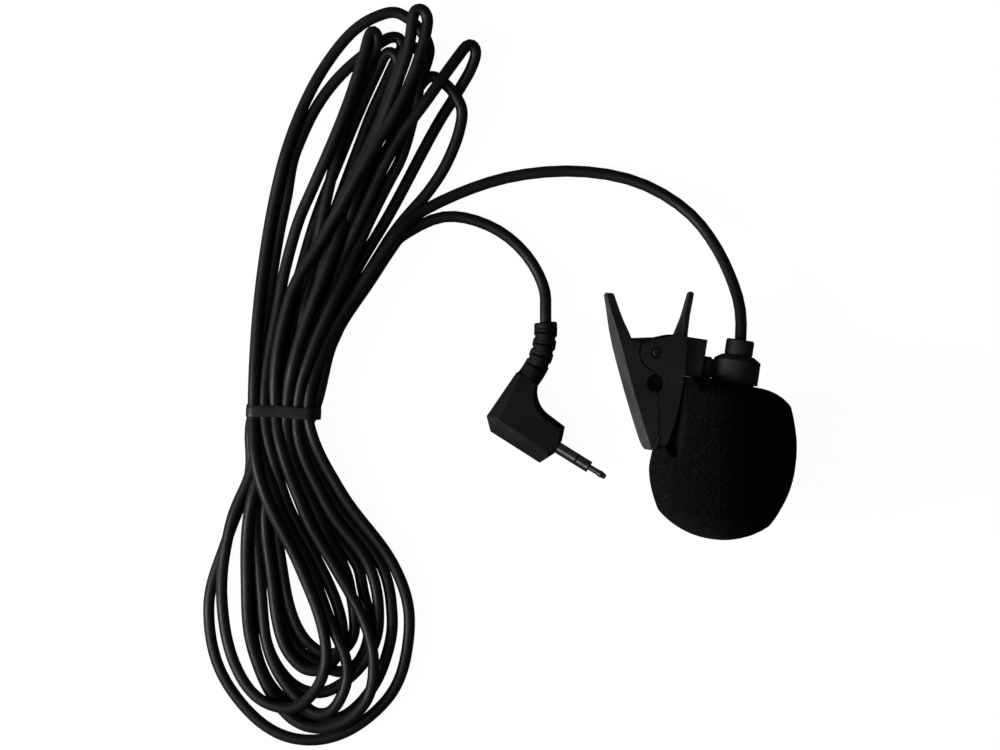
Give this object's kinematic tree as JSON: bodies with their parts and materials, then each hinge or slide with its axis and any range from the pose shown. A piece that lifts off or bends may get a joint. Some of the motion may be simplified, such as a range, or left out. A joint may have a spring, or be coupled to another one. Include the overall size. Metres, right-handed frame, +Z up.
{
  "type": "lavalier microphone",
  "caption": "Clip-on microphone with a foam windscreen, sprung lapel clip, thin cable tied in a hank and a right-angle plug.",
  "frame": {"origin": "middle of the footprint of the microphone with its clip, on the surface it lies on; the cable and plug are left out of that box", "axes": "+Y along the microphone's axis towards its cable, +Z up, so the object lies on its foam windscreen and its hank"},
  "size_m": [0.1195, 0.1599, 0.03],
  "materials": {
    "abs_black": "fine satin moulding",
    "clip_black": "satin moulding",
    "foam_black": "open-cell foam",
    "felt_dark": "felt",
    "rubber_black": "matt",
    "can_aluminium": "drawn can",
    "steel": "bright steel",
    "film": "clear to white film and moulding",
    "board_green": "circuit board",
    "chip_black": "moulded package",
    "solder": "solder",
    "wire_red": "insulated wire",
    "copper": "twisted copper",
    "cable_pvc": "satin PVC jacket",
    "tie_black": "coated wire tie",
    "plug_pvc": "soft PVC moulding",
    "nickel": "nickel plating",
    "insulator_black": "moulded insulator"
  },
  "bodies": {
    "mic": {"mic_barrel": "abs_black", "mic_holder": "abs_black", "rear_cap": "abs_black", "front_grille": "abs_black", "dust_felt": "felt_dark", "capsule_sleeve": "rubber_black", "capsule_can": "can_aluminium", "diaphragm_ring": "steel", "cable_crimp": "steel", "backplate": "steel", "diaphragm": "film", "diaphragm_spacer": "film", "insulator_cup": "film", "capsule_board": "board_green", "capsule_transistor": "chip_black", "solder_joints": "solder", "signal_wire": "wire_red", "shield_wire": "copper", "cable_tail": "cable_pvc", "cable_mic_lead": "cable_pvc", "cable_plug_lead": "cable_pvc", "cable_hank": "cable_pvc", "cable_tie": "tie_black", "plug_elbow": "plug_pvc", "plug_strain_relief": "plug_pvc", "plug_sleeve": "nickel", "plug_ring": "nickel", "plug_tip": "nickel", "plug_rear_insulator": "insulator_black", "plug_front_insulator": "insulator_black"},
    "clip": {"clip_back_jaw": "clip_black", "clip_pivot_pin": "steel", "clip_spring": "steel"},
    "front_jaw": {"clip_front_jaw": "clip_black"},
    "windscreen": {"windscreen": "foam_black"}
  },
  "joints": [
    {"name": "clip_slide", "type": "slide", "parent": "mic", "child": "clip", "axis": [0, 1, 0], "range_m": [0, 0.007]},
    {"name": "jaw_hinge", "type": "hinge", "parent": "clip", "child": "front_jaw", "pos_m": [-0.01075, 0.0116, 0.01951], "axis": [-0.2419, 0, -0.9703], "range_deg": [0, 30], "stiffness_Nm_per_rad": 0.02, "springref_deg": -34.38, "deforming": ["clip_spring"]},
    {"name": "windscreen_slide", "type": "slide", "parent": "mic", "child": "windscreen", "axis": [0, -1, 0], "range_m": [0, 0.018]}
  ]
}
